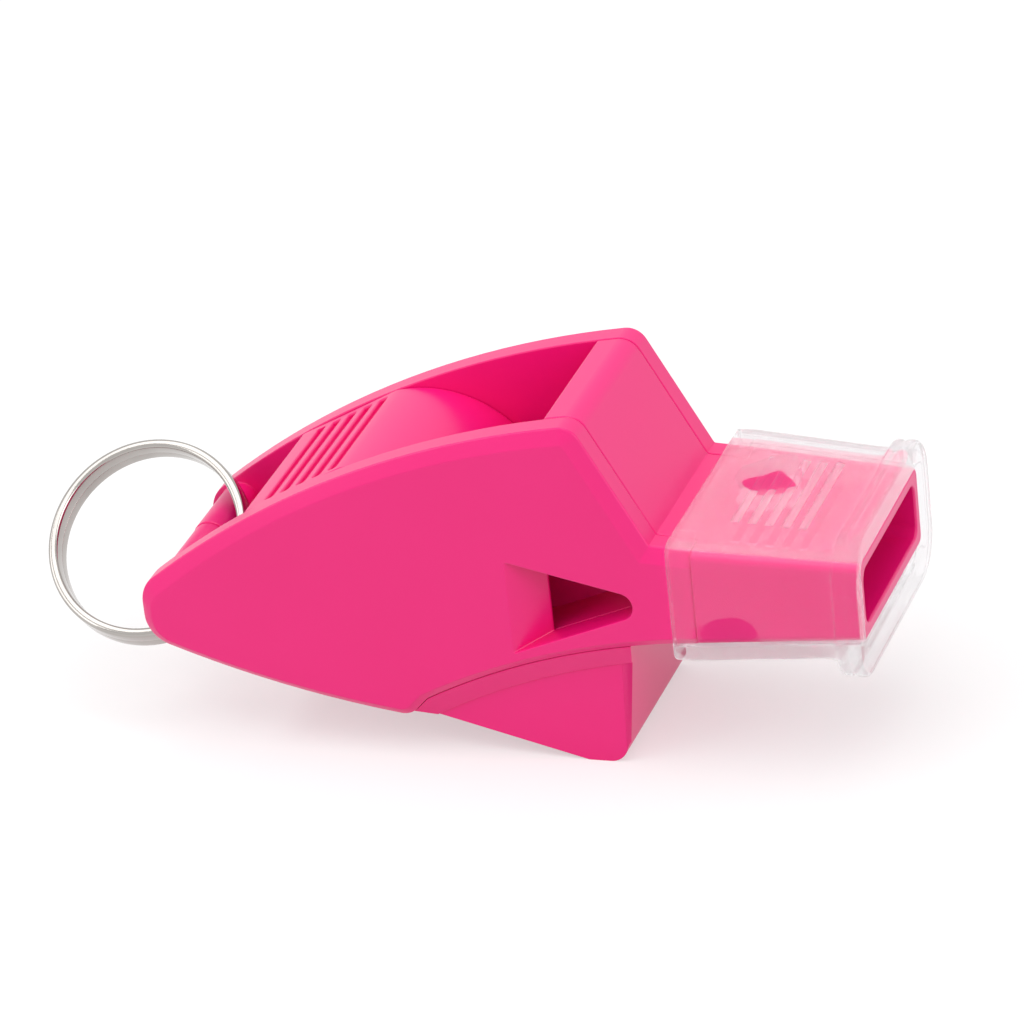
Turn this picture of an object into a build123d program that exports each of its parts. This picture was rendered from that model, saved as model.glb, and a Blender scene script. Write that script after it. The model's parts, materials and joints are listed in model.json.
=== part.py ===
from build123d import *
import os
from math import atan2, cos, hypot, radians, sin, sqrt

# Pealess sports whistle with a lower fin, a clear mouth cover and a split ring. Millimetres.
# The mouth points along +X, Z is up and Y = 0 is the plane of symmetry.
# In the side view, u runs along X from the mouth plane (negative towards the tail)
# and v runs along Z from the axis of the mouthpiece.

# Lengths of the side view, from the mouth to the tail
neck_length = 15.6
slope_run = 5.1
crown_width = 2.7
scoop_length = 16.4
grip_length = 8.0
ring_gap = 4.4
bar_diameter = 2.9
tail_lip = 2.5

# Heights of the side view, measured from the axis of the mouthpiece
crown_height = 13.35
tail_drop = 2.0
tail_height = 4.1
belly_depth = 11.45
fin_depth = 14.7
bar_sink = 2.1

# Curves of the side plates
back_bow = 2.65
belly_bow = 0.65
arch_bow = 1.2
belly_ahead = 4.2
heel_run = 1.4
heel_rise = 1.5
crown_radius = 1.6
tail_radius = 2.6
belly_radius = 1.5

# Widths and walls of the body
body_width = 18.0
plate_thickness = 2.3
bevel_height = 1.25
bevel_depth = 0.45
arch_chamfer = 0.6
tail_chamfer = 0.8
seam = 0.04
overrun = 1.0

# Mouthpiece tube
neck_height = 7.6
neck_rise = 0.2
mouth_width = 16.4
mouth_height = 6.2
tube_wall = 0.95
tube_corner = 0.7
slot_corner = 0.9

# Upper windway between the mouth and the scoop
windway_height = 1.2
windway_rise = 1.8
scoop_wall = 1.5
slope_wall = 1.7

# Side windows with their sounding edges and side chambers
window_back = 9.8
window_reach = 10.85
window_top = 1.81
window_foot = 4.85
window_tip = 0.71
window_tip_radius = 1.1
ramp_lead = 1.4
edge_inset = 1.2
edge_land = 0.25
pocket_depth = 4.3
side_chamber_length = 4.1
side_chamber_top = 0.65
side_chamber_foot = 5.35
side_windway_width = 2.0
side_windway_height = 1.5

# Upper chamber
chamber_wall = 1.5
chamber_floor = 1.5
chamber_back = 7.6
sill_drop = 1.7

# Grip panel with its grooves and the sounding edge in the scoop
grip_thickness = 1.6
edge_ahead = 9.5
edge_drop = 2.7
ramp_bow = 1.4
underside_bow = 0.75
groove_count = 5
groove_pitch = 1.5
groove_width = 0.75
groove_depth = 0.45
groove_length = 11.9
groove_margin = 0.95

# Crossbar for the ring, made of two pegs that meet in the middle
peg_step = 0.12
spigot_diameter = 1.4
spigot_length = 2.0
spigot_clearance = 0.06

# Lower fin
fin_width = 15.4
fin_rear_rise = 0.3
ledge_width = 17.0
ledge_height = 1.7
ledge_land = 0.15
ledge_step = 0.15
fin_foot_length = 2.9
fin_front_setback = 3.7
fin_lean = 1.6
fin_foot_radius = 1.4

# Airway divider
divider_length = 7.4
divider_width = 9.2
divider_nose_width = 4.0
divider_nose_height = 0.7

# Mouth cover
cover_length = 14.0
cover_lap = 1.5
cover_wall = 0.9
cover_clearance = 0.2
cover_inner_corner = 0.5
cover_outer_corner = 1.2
flange_side = 1.2
flange_rise = 1.6
flange_sink = 0.3
flange_length = 1.5
cover_proud = 0.3
flange_flare = 1.6
flange_corner = 3.6
flange_round = 0.6
rib_count = 5
rib_pitch = 1.27
rib_length = 10.8
rib_width = 0.6
rib_height = 0.35
rib_margin = 4.9

# Split ring
ring_diameter = 16.0
wire_width = 0.75
wire_thickness = 1.0
turn_gap = 0.45
ring_tilt = 46.0
ring_drop_angle = 9.5
ring_clearance = 0.75
ring_jog_angle = 50.0
ring_end_angle = 15.0
ring_split_angle = 250.0
jog_steps = 6

# Stations of the side view
foot_u = -neck_length
crown_u = foot_u - slope_run
lip_u = crown_u - crown_width
crease_u = lip_u - scoop_length
grip_rear_u = crease_u - grip_length
bar_u = grip_rear_u - ring_gap - bar_diameter / 2
tail_u = bar_u - tail_lip
joint_u = cover_lap - cover_length
inner_half = body_width / 2 - plate_thickness
core_half = inner_half - seam
neck_half = neck_height / 2

crown = (crown_u, crown_height)
slope_foot = (foot_u, neck_half + neck_rise)
tail_top = (tail_u, -tail_drop)
tail_foot = (tail_u, -tail_drop - tail_height)
belly = (crease_u + belly_ahead, -belly_depth)
heel = (belly[0] + heel_run, belly[1] + heel_rise)
neck_top = (joint_u, neck_half)
neck_foot = (joint_u, -neck_half)


def bow_point(start, end, bow):
    """Middle of an arc from start to end that bows to the left by the given height."""
    run = end[0] - start[0]
    rise = end[1] - start[1]
    chord = hypot(run, rise)
    middle_u = (start[0] + end[0]) / 2 - bow * rise / chord
    middle_v = (start[1] + end[1]) / 2 + bow * run / chord
    return (middle_u, middle_v)


def arc_circle(start, end, bow):
    """Centre and radius of the arc from start to end that bows to the left."""
    run = end[0] - start[0]
    rise = end[1] - start[1]
    chord = hypot(run, rise)
    radius = chord**2 / (8 * abs(bow)) + abs(bow) / 2
    reach = bow - radius if bow > 0 else bow + radius
    centre_u = (start[0] + end[0]) / 2 - reach * rise / chord
    centre_v = (start[1] + end[1]) / 2 + reach * run / chord
    return (centre_u, centre_v, radius)


def bowed_height(start, end, bow, u):
    """Height at u of an arc from the left to the right that bows up, or down if bow is below zero."""
    centre_u, centre_v, radius = arc_circle(start, end, bow)
    height = sqrt(radius**2 - (u - centre_u) ** 2)
    return centre_v + height if bow > 0 else centre_v - height


def line_height(start, end, u):
    """Height at u of the straight line through start and end."""
    return start[1] + (end[1] - start[1]) * (u - start[0]) / (end[0] - start[0])


def back_height(u):
    """Height at u of the back edge of the side plates."""
    return bowed_height(tail_top, crown, back_bow, u)


def belly_height(u):
    """Height at u of the lower edge of the side plates, behind the belly."""
    return bowed_height(tail_foot, belly, -belly_bow, u)


def arch_height(u):
    """Height at u of the lower edge of the side plates, ahead of the heel."""
    return bowed_height(heel, neck_foot, arch_bow, u)


bar_v = back_height(bar_u) - bar_sink
crease = (crease_u, back_height(crease_u))
grip_rear = (grip_rear_u, back_height(grip_rear_u))
lip = (lip_u, back_height(lip_u))
grip_angle = atan2(crease[1] - grip_rear[1], grip_length)
grip_drop = grip_thickness / cos(grip_angle)
sounding_edge = (crease_u + edge_ahead, crease[1] - edge_drop)
roof_front = (joint_u, neck_half - tube_wall)
roof_rear = (lip_u, roof_front[1] + windway_rise)
floor_front = (joint_u, roof_front[1] - windway_height)
floor_rear = (lip_u, roof_rear[1] - windway_height)

# Place of the ring: it rests against the bar from inside, leaning back
ring_radius = ring_diameter / 2
ring_reach = ring_radius - wire_width - bar_diameter / 2 - ring_clearance
ring_u = bar_u - ring_reach * cos(radians(ring_drop_angle))
ring_v = bar_v - ring_reach * sin(radians(ring_drop_angle)) * cos(radians(ring_tilt))

# The origin is below the middle of the whole, on the level of the fin's foot
mouth_x = (ring_radius - ring_u - cover_proud) / 2
axis_z = fin_depth
side_plane = Plane(origin=(mouth_x, 0, axis_z), x_dir=(1, 0, 0), z_dir=(0, -1, 0))


def section_plane(u):
    """Plane across the mouthpiece at u, with its own x along Y and its own y along Z."""
    return Plane(origin=(mouth_x + u, 0, axis_z), x_dir=(0, 1, 0), z_dir=(1, 0, 0))


def side_point(u, v):
    """Point in the plane of symmetry."""
    return (mouth_x + u, 0, axis_z + v)


def corner_at(vertices, point):
    """The corner of a sketch that lies nearest to a point of the side view."""
    return vertices.sort_by_distance(Vector(point[0], point[1], 0))[0]


# Outline of a side plate, also the boundary of what lies between the plates.
# Its edges run clockwise: back, slope, neck, front end, arch, heel, belly and tail.
outline_corners = (tail_top, crown, slope_foot, neck_top, neck_foot, heel, belly, tail_foot)
edge_bows = (back_bow, 0, 0, 0, -arch_bow, 0, belly_bow, 0)
edge_bevels = (
    bevel_height,
    bevel_height,
    bevel_height,
    0,
    arch_chamfer,
    arch_chamfer,
    arch_chamfer,
    tail_chamfer,
)
corner_radii = (tail_radius, crown_radius, 0, 0, 0, 0, belly_radius, tail_radius)
edge_count = len(outline_corners)


def edge_heading(index, at_end):
    """Heading of an edge of the outline at its start or at its end."""
    start = outline_corners[index]
    end = outline_corners[(index + 1) % edge_count]
    run = end[0] - start[0]
    rise = end[1] - start[1]
    turn = 2 * atan2(2 * edge_bows[index], hypot(run, rise))
    return atan2(rise, run) + (-turn if at_end else turn)


def inset_corner(index, insets):
    """Corner of the outline once the edges on both sides of it are drawn in."""
    before = edge_heading(index - 1, True)
    after = edge_heading(index, False)
    inset_before = insets[index - 1]
    inset_after = insets[index]
    spread = sin(after - before)
    shift_u = (inset_after * cos(before) - inset_before * cos(after)) / spread
    shift_v = (inset_after * sin(before) - inset_before * sin(after)) / spread
    return (outline_corners[index][0] + shift_u, outline_corners[index][1] + shift_v)


def outline_sketch(plane, insets):
    """Outline of a side plate on a plane, with its edges drawn in by the insets."""
    corners = [inset_corner(index, insets) for index in range(edge_count)]
    with BuildSketch(plane) as outline:
        with BuildLine():
            for index, bow in enumerate(edge_bows):
                end = corners[(index + 1) % edge_count]
                if bow:
                    ThreePointArc(corners[index], bow_point(corners[index], end, bow), end)
                else:
                    Line(corners[index], end)
        make_face()
        for index, radius in enumerate(corner_radii):
            if radius:
                inset_radius = radius - min(insets[index - 1], insets[index])
                fillet(corner_at(outline.vertices(), corners[index]), inset_radius)
    return outline.sketch


full_size = (0,) * edge_count
plate_outline = outline_sketch(Plane.XY, full_size)

# Side window: a triangle with a round tip towards the mouth
window_rear_u = foot_u - window_back
window_apex = (window_rear_u + window_reach, -window_tip)
window_upper = (window_rear_u, window_top)
window_lower = (window_rear_u, -window_foot)
ramp_start_u = window_rear_u - ramp_lead
edge_u = window_rear_u + edge_inset
ramp_upper = (ramp_start_u, line_height(window_upper, window_apex, ramp_start_u))
ramp_lower = (ramp_start_u, line_height(window_lower, window_apex, ramp_start_u))

with BuildPart() as window_cutter:
    with BuildSketch(side_plane.offset(inner_half - overrun)) as window_sketch:
        with BuildLine():
            Polyline(ramp_upper, window_apex, ramp_lower, close=True)
        make_face()
        fillet(corner_at(window_sketch.vertices(), window_apex), window_tip_radius)
    extrude(amount=plate_thickness + 2 * overrun)
    with BuildSketch(Plane(origin=(mouth_x, 0, 0))):
        with BuildLine():
            Polyline(
                (ramp_start_u, -body_width / 2),
                (edge_u, -inner_half - edge_land),
                (edge_u, -inner_half + overrun),
                (window_apex[0], -inner_half + overrun),
                (window_apex[0], -body_width / 2 - overrun),
                (ramp_start_u, -body_width / 2 - overrun),
                close=True,
            )
        make_face()
    extrude(amount=axis_z + crown_height, mode=Mode.INTERSECT)

bevel_start = inner_half + plate_thickness - bevel_depth
with BuildPart() as plain_plate:
    with BuildSketch(side_plane.offset(inner_half)):
        add(plate_outline)
    extrude(amount=plate_thickness - bevel_depth)
    bevel_foot = outline_sketch(side_plane.offset(bevel_start), full_size)
    bevel_top = outline_sketch(side_plane.offset(body_width / 2), edge_bevels)
    loft([bevel_foot, bevel_top], ruled=True)
    add(window_cutter.part, mode=Mode.SUBTRACT)


def bar_section(half_plane, diameter):
    """Round section on the axis of the crossbar."""
    with BuildSketch(half_plane) as section:
        with Locations((bar_u, bar_v)):
            Circle(diameter / 2)
    return section.sketch


# Side plates, each with its half of the crossbar
left_middle = side_plane.offset(seam / 2)
right_middle = side_plane.offset(-seam / 2)
socket_diameter = spigot_diameter + 2 * spigot_clearance

with BuildPart() as left_side_plate:
    add(plain_plate.part)
    extrude(bar_section(left_middle, bar_diameter - peg_step), amount=inner_half - seam / 2)
    extrude(bar_section(left_middle, spigot_diameter), amount=-spigot_length)

with BuildPart() as right_side_plate:
    mirror(plain_plate.part, about=Plane.XZ)
    extrude(bar_section(right_middle, bar_diameter), amount=seam / 2 - inner_half)
    extrude(bar_section(right_middle, socket_diameter), amount=-spigot_length, mode=Mode.SUBTRACT)

# Chamber block between the plates: upper chamber, deck, side chambers and side windways
chamber_rear_u = grip_rear_u + chamber_wall
chamber_front_u = lip_u - chamber_back
rear_top = (grip_rear_u, grip_rear[1] - grip_drop - seam)
inner_top = (chamber_rear_u, line_height(grip_rear, crease, chamber_rear_u) - grip_drop - seam)
below = -belly_depth - overrun

with BuildPart() as chamber_block:
    with BuildSketch(side_plane):
        with BuildLine():
            Polyline(
                rear_top,
                inner_top,
                (chamber_rear_u, belly_height(chamber_rear_u) + chamber_floor),
                (belly[0], heel[1] + chamber_floor / 2),
                (chamber_front_u, arch_height(chamber_front_u) + chamber_floor),
                (chamber_front_u, floor_rear[1] - sill_drop),
                floor_rear,
                (joint_u + seam, floor_front[1]),
                (joint_u + seam, below),
                (grip_rear_u, below),
                close=True,
            )
        make_face()
        add(plate_outline, mode=Mode.INTERSECT)
    extrude(amount=core_half, both=True)
    for side in (-1, 1):
        with BuildSketch(side_plane.offset(side * core_half)) as pocket_sketch:
            with BuildLine():
                Polyline(
                    window_apex,
                    window_upper,
                    (window_rear_u - side_chamber_length, side_chamber_top),
                    (window_rear_u - side_chamber_length, -side_chamber_foot),
                    window_lower,
                    close=True,
                )
            make_face()
            fillet(corner_at(pocket_sketch.vertices(), window_apex), window_tip_radius)
        extrude(amount=-side * pocket_depth, mode=Mode.SUBTRACT)
        with BuildSketch(side_plane.offset(side * core_half)):
            with Locations((foot_u, -window_tip)):
                Rectangle(window_reach, side_windway_height)
        extrude(amount=-side * side_windway_width, mode=Mode.SUBTRACT)

# Front body: mouthpiece tube, roof of the upper windway and front slope
core_foot_u = foot_u - slope_wall
core_rear_u = lip_u + scoop_wall
core_crown_v = line_height(crown, slope_foot, core_rear_u + slope_wall)

with BuildPart() as front_body:
    with BuildSketch(side_plane) as slope_sketch:
        with BuildLine():
            Polyline(
                (joint_u, neck_half),
                slope_foot,
                crown,
                lip,
                roof_rear,
                roof_front,
                close=True,
            )
        make_face()
        fillet(corner_at(slope_sketch.vertices(), crown), crown_radius)
        with BuildLine():
            Polyline(
                (core_rear_u, core_crown_v),
                (core_rear_u, roof_rear[1] + scoop_wall),
                (core_foot_u, line_height(roof_rear, roof_front, core_foot_u) + scoop_wall),
                close=True,
            )
        make_face(mode=Mode.SUBTRACT)
    extrude(amount=core_half, both=True)
    with BuildSketch(section_plane(joint_u)):
        RectangleRounded(body_width, neck_height, tube_corner)
    with BuildSketch(section_plane(0)):
        RectangleRounded(mouth_width, mouth_height, tube_corner)
    loft()
    with BuildSketch(section_plane(joint_u)):
        RectangleRounded(body_width - 2 * tube_wall, neck_height - 2 * tube_wall, slot_corner)
    with BuildSketch(section_plane(0)):
        RectangleRounded(mouth_width - 2 * tube_wall, mouth_height - 2 * tube_wall, slot_corner)
    loft(mode=Mode.SUBTRACT)

# Grip panel: grooved back, and the curved ramp that ends in the sounding edge of the scoop
crease_under = (crease_u, crease[1] - grip_drop)
rear_under = (grip_rear_u, grip_rear[1] - grip_drop)
grip_plane = Plane(
    origin=side_point(*crease),
    x_dir=(-cos(grip_angle), 0, -sin(grip_angle)),
    z_dir=(-sin(grip_angle), 0, cos(grip_angle)),
)

with BuildPart() as grip_panel:
    with BuildSketch(side_plane):
        with BuildLine():
            ThreePointArc(crease, bow_point(crease, sounding_edge, ramp_bow), sounding_edge)
            ThreePointArc(
                crease_under, bow_point(crease_under, sounding_edge, underside_bow), sounding_edge
            )
            Polyline(crease_under, rear_under, grip_rear, crease)
        make_face()
    extrude(amount=core_half, both=True)
    with BuildSketch(grip_plane):
        for groove in range(groove_count):
            with Locations((groove_margin + groove * groove_pitch, 0)):
                Rectangle(groove_width, groove_length)
    extrude(amount=-groove_depth, mode=Mode.SUBTRACT)

# Lower fin, seated under the arch of the plates on a sloped ledge
fin_front_u = foot_u - fin_front_setback
fin_top_v = -neck_half
with BuildSketch() as fin_outline:
    with BuildLine():
        Polyline(
            (belly[0], belly[1] + fin_rear_rise),
            (fin_front_u - fin_foot_length, -fin_depth),
            (fin_front_u, -fin_depth),
            (fin_front_u + fin_lean, fin_top_v),
            (belly[0], fin_top_v),
            close=True,
        )
    make_face()
    fillet(corner_at(fin_outline.vertices(), (fin_front_u, -fin_depth)), fin_foot_radius)
    with Locations((0, -seam)):
        add(plate_outline, mode=Mode.SUBTRACT)

arch_u, arch_v, arch_radius = arc_circle(heel, neck_foot, arch_bow)
ledge_top = arch_v + arch_radius
ledge_foot_half = fin_width / 2 + ledge_step
with BuildPart() as fin_ledge:
    with BuildSketch(section_plane(arch_u)):
        with BuildLine():
            Polyline(
                (ledge_width / 2, ledge_top + overrun),
                (ledge_width / 2, ledge_top - ledge_land),
                (ledge_foot_half, ledge_top - ledge_height),
                (-ledge_foot_half, ledge_top - ledge_height),
                (-ledge_width / 2, ledge_top - ledge_land),
                (-ledge_width / 2, ledge_top + overrun),
                close=True,
            )
        make_face()
    revolve(axis=Axis(side_point(arch_u, arch_v), (0, 1, 0)), revolution_arc=360)
    with BuildSketch(side_plane):
        add(fin_outline.sketch)
    extrude(amount=ledge_width / 2, both=True, mode=Mode.INTERSECT)

with BuildPart() as lower_fin:
    with BuildSketch(side_plane):
        add(fin_outline.sketch)
    extrude(amount=fin_width / 2, both=True)
    add(fin_ledge.part)

# Airway divider inside the mouthpiece
slot_floor_rear = neck_half - tube_wall
slot_floor_front = mouth_height / 2 - tube_wall
nose_u = joint_u + divider_length
nose_floor = slot_floor_rear + (slot_floor_front - slot_floor_rear) * divider_length / -joint_u

with BuildPart() as airway_divider:
    with BuildSketch(section_plane(joint_u + 2 * seam)):
        with Locations((0, -slot_floor_rear + seam)):
            Rectangle(
                divider_width,
                slot_floor_rear + floor_front[1] - seam,
                align=(Align.CENTER, Align.MIN),
            )
    with BuildSketch(section_plane(nose_u)):
        with Locations((0, -nose_floor + seam)):
            Rectangle(
                divider_nose_width, divider_nose_height, align=(Align.CENTER, Align.MIN)
            )
    loft()

# Mouth cover: soft clear sleeve with a flared flange and grip ribs
sleeve_grow = 2 * (cover_clearance + cover_wall)
flange_width = mouth_width + sleeve_grow + 2 * flange_side
flange_height = mouth_height + sleeve_grow + 2 * flange_rise
flare_u = -flange_length - flange_flare
rib_plane_tilt = atan2((neck_height - mouth_height) / 2, -joint_u)
rib_middle_u = -rib_margin - rib_pitch * (rib_count - 1) / 2
rib_share = (rib_middle_u - joint_u) / -joint_u
sleeve_top = (neck_height + (mouth_height - neck_height) * rib_share + sleeve_grow) / 2


def sleeve_section(u, grow, corner):
    """Rounded section of the mouthpiece at u, grown all round."""
    share = max(0, (u - joint_u) / -joint_u)
    width = body_width + (mouth_width - body_width) * share
    height = neck_height + (mouth_height - neck_height) * share
    with BuildSketch(section_plane(u)) as section:
        RectangleRounded(width + grow, height + grow, corner)
    return section.sketch


with BuildSketch(section_plane(-flange_length)) as flange_section:
    with Locations((0, -flange_sink)):
        RectangleRounded(flange_width, flange_height, flange_corner)

with BuildPart() as mouth_cover:
    for start_u, end_u in ((-cover_length, joint_u), (joint_u, -flange_length)):
        start_section = sleeve_section(start_u, sleeve_grow, cover_outer_corner)
        end_section = sleeve_section(end_u, sleeve_grow, cover_outer_corner)
        loft([start_section, end_section])
    flare_section = sleeve_section(flare_u, sleeve_grow, cover_outer_corner)
    loft([flare_section, flange_section.sketch])
    extrude(flange_section.sketch, amount=flange_length + cover_proud)
    front_rim = mouth_cover.faces().sort_by(Axis.X)[-1]
    fillet(front_rim.edges(), flange_round)
    for side in (-1, 1):
        rib_plane = Plane(
            origin=side_point(rib_middle_u, side * sleeve_top),
            x_dir=(cos(rib_plane_tilt), 0, -side * sin(rib_plane_tilt)),
            z_dir=(sin(rib_plane_tilt), 0, side * cos(rib_plane_tilt)),
        )
        with BuildSketch(rib_plane.offset(-cover_wall / 2)):
            with GridLocations(rib_pitch, 0, rib_count, 1):
                SlotOverall(rib_length, rib_width, rotation=90)
        extrude(amount=cover_wall / 2 + rib_height)
    for start_u, end_u in ((-cover_length, joint_u), (joint_u, cover_proud)):
        start_section = sleeve_section(start_u, 2 * cover_clearance, cover_inner_corner)
        end_section = sleeve_section(end_u, 2 * cover_clearance, cover_inner_corner)
        loft([start_section, end_section], mode=Mode.SUBTRACT)

# Split ring: flat wire in two turns, with a jog from one turn to the other
ring_plane = Plane(
    origin=side_point(ring_u, ring_v),
    x_dir=(1, 0, 0),
    z_dir=(0, -cos(radians(ring_tilt)), sin(radians(ring_tilt))),
)
turn_pitch = wire_thickness + turn_gap
wire_radius = ring_radius - wire_width / 2
flat_angle = 360 - ring_jog_angle - ring_end_angle


def wire_plane(angle, height):
    """Plane across the wire at an angle round the ring."""
    turn = radians(angle)
    outward = ring_plane.x_dir * cos(turn) + ring_plane.y_dir * sin(turn)
    onward = ring_plane.y_dir * cos(turn) - ring_plane.x_dir * sin(turn)
    middle = ring_plane.origin + outward * wire_radius + ring_plane.z_dir * height
    return Plane(origin=middle, x_dir=outward, z_dir=-onward)


def wire_section(angle, height):
    """Flat section of the wire at an angle round the ring."""
    with BuildSketch(wire_plane(angle, height)) as section:
        Rectangle(wire_width, wire_thickness)
    return section.sketch


lower_start = ring_split_angle
lower_end = lower_start + flat_angle
upper_start = lower_end + ring_jog_angle
ring_axis = Axis(ring_plane.origin, ring_plane.z_dir)


def wire_height(angle):
    """Height of the middle of the wire, at an angle along the wire, above the middle of the ring."""
    share = min(1, max(0, (angle - lower_end) / ring_jog_angle))
    return turn_pitch * (share**2 * (3 - 2 * share) - 1 / 2)


jog_angles = [lower_end + ring_jog_angle * step / jog_steps for step in range(jog_steps + 1)]
with BuildPart() as split_ring:
    for start_angle in (lower_start, upper_start):
        turn_section = wire_section(start_angle, wire_height(start_angle))
        revolve(turn_section, axis=ring_axis, revolution_arc=flat_angle)
    loft([wire_section(angle, wire_height(angle)) for angle in jog_angles], ruled=True)

# Least gap between the turns, measured on points along the wire that face each other
upper_end = upper_start + flat_angle
facing = range(int(lower_start), int(upper_end) - 360)
least_gap = min(wire_height(angle + 360) - wire_height(angle) for angle in facing) - wire_thickness
print(f"split ring: least gap between its turns {least_gap:.3f} mm")

# Labels and files, one for each piece
pieces = {
    "front_body": front_body,
    "chamber_block": chamber_block,
    "left_side_plate": left_side_plate,
    "right_side_plate": right_side_plate,
    "grip_panel": grip_panel,
    "lower_fin": lower_fin,
    "airway_divider": airway_divider,
    "mouth_cover": mouth_cover,
    "split_ring": split_ring,
}
os.makedirs("parts", exist_ok=True)
for name, piece in pieces.items():
    piece.part.label = name
    export_step(piece.part, f"parts/{name}.step")
print(f"bar axis x {mouth_x + bar_u:.3f} z {axis_z + bar_v:.3f}, mouth x {mouth_x:.3f}, axis z {axis_z:.3f}")
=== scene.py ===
import json
from math import copysign, cos, radians, sin

import bmesh
import bpy
from bpy.props import FloatProperty, FloatVectorProperty, IntProperty, PointerProperty
from bpy.types import Operator, Panel, PropertyGroup
from mathutils import Matrix, Vector

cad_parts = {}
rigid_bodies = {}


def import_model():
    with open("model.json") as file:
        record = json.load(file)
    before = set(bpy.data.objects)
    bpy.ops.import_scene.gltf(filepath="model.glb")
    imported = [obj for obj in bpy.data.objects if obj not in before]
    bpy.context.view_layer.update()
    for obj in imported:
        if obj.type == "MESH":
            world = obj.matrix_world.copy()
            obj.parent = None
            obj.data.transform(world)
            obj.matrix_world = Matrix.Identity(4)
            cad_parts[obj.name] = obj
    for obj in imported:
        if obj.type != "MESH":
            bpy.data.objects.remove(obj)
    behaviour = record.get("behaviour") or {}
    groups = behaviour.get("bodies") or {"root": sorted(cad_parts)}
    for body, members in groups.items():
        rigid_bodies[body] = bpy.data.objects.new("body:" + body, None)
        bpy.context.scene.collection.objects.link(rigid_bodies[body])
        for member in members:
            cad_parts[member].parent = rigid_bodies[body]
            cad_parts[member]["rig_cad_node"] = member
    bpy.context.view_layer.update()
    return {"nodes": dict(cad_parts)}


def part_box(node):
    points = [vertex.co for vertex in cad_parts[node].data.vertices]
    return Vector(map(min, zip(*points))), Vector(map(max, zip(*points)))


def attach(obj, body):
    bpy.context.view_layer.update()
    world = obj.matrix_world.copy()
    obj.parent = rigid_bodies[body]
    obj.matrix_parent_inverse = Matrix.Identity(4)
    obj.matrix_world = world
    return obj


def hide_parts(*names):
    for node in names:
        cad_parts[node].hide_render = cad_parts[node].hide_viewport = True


bl_info = {
    "name": "Sports whistle",
    "version": (1, 0, 0),
    "blender": (4, 5, 0),
    "location": "View3D > Sidebar > Whistle",
    "description": "Dresses a pealess sports whistle: mouldings, mouth cover, split ring and stage",
    "category": "Object",
}

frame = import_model()

MM = 0.001
NEAR = 0.01 * MM
MERGE_DISTANCE = 0.001 * MM
FLAT_ANGLE = radians(0.15)

# Least part of a unit vector along an axis that counts as aligned with it
ALIGNED = 0.9

MOULDINGS = (
    "front_body",
    "chamber_block",
    "left_side_plate",
    "right_side_plate",
    "grip_panel",
    "lower_fin",
    "airway_divider",
)

# Half the height of the mouthpiece's root
NECK_HALF = 3.8 * MM

# Places taken from the frame, in metres
cover_low, cover_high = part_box("mouth_cover")
tube_low, tube_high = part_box("front_body")
_, fin_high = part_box("lower_fin")
ring_low, ring_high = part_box("split_ring")
mouth_x = tube_high.x
axis_z = tube_low.z + NECK_HALF
lip_z = (cover_low.z + cover_high.z) / 2
ring_centre = (ring_low + ring_high) / 2

# Profile of the beaded lip: distance behind the mouth, and share of the way from the sleeve to the lip
LIP_PROFILE = (
    (3.0 * MM, 0),
    (2.4 * MM, 0.05),
    (2.0 * MM, 0.14),
    (1.76 * MM, 0.27),
    (1.64 * MM, 0.48),
    (1.56 * MM, 0.82),
    (1.44 * MM, 0.96),
    (1.26 * MM, 1),
    (1.0 * MM, 0.97),
    (0.88 * MM, 0.85),
    (0.78 * MM, 0.79),
    (0.68 * MM, 0.85),
    (0.56 * MM, 0.97),
    (0.3 * MM, 1),
    (0.04 * MM, 1),
    (-0.14 * MM, 0.94),
)
LIP_FRONT_SHARE = 0.78
LIP_FOLD = 0.3 * MM
REAR_ROUND = 0.25 * MM
REAR_TUCK = -0.12
COVER_EDGE_ROUND = 0.14 * MM
COVER_CORNER_STEPS = 8

# Shares of a rib's height in its flank and its crown, and of its width in its slope
RIB_FLANK = 0.55
RIB_CROWN = 0.45
RIB_SLOPE = 0.25

# How the fin's upright front edges are found: inset from its sides, depth from its front,
# play on the inset, and least length in radii of their rounding
FIN_SIDE_INSET = 0.8 * MM
FIN_FRONT_DEPTH = 2.2 * MM
FIN_SIDE_PLAY = 0.05 * MM
FIN_LEAST_LENGTH = 4

# Steps in the roundings, in a turn of the wire and in its jog
FIN_ROUND_STEPS = 5
EDGE_STEPS = 2
WIRE_CORNER_STEPS = 6
TURN_STEPS = 96
JOG_STEPS = 12

# Angles above which an edge counts as sharp
MOULDING_SHARP = radians(18)
COVER_SHARP = radians(32)
RING_SHARP = radians(40)

# Flow scale, grain scale, roughness range, bump strength and bump depth of each finish
PLASTIC_SKIN = (90, 2600, (0.285, 0.33), 0.06, 0.02 * MM)
STEEL_SKIN = (420, 3200, (0.09, 0.18), 0.2, 0.02 * MM)
CLEAR_SKIN = (160, 1800, (0.05, 0.13), 0.2, 0.03 * MM)
FROSTED_SKIN = (160, 1800, (0.29, 0.36), 0.2, 0.03 * MM)
PLASTIC_IOR = 1.5
COVER_IOR = 1.36
COVER_COAT = 0.15
COVER_COAT_ROUGHNESS = 0.06

# Share of the light that goes through the plastic, and share that is seen straight through it
CLEAR_SHARES = (0.88, 0.78)
FROSTED_SHARES = (0.7, 0.56)

# Patches where the cover clings: scale and spread of their uneven edge, the soft band along it,
# and how much clearer they are
PATCH_SCALE = 300
PATCH_SPREAD = 0.45
PATCH_OUTSIDE = 1.06
PATCH_INSIDE = 0.98
PATCH_CLEARER = 0.5

# Fine marks of a skin: their stretch, their turn, and the range of noise that shows as a mark
MARK_STRETCH = (0.12, 1, 1)
MARK_TURN = (0, radians(20), 0)
MARK_RANGE = (0.60, 0.72)

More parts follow.
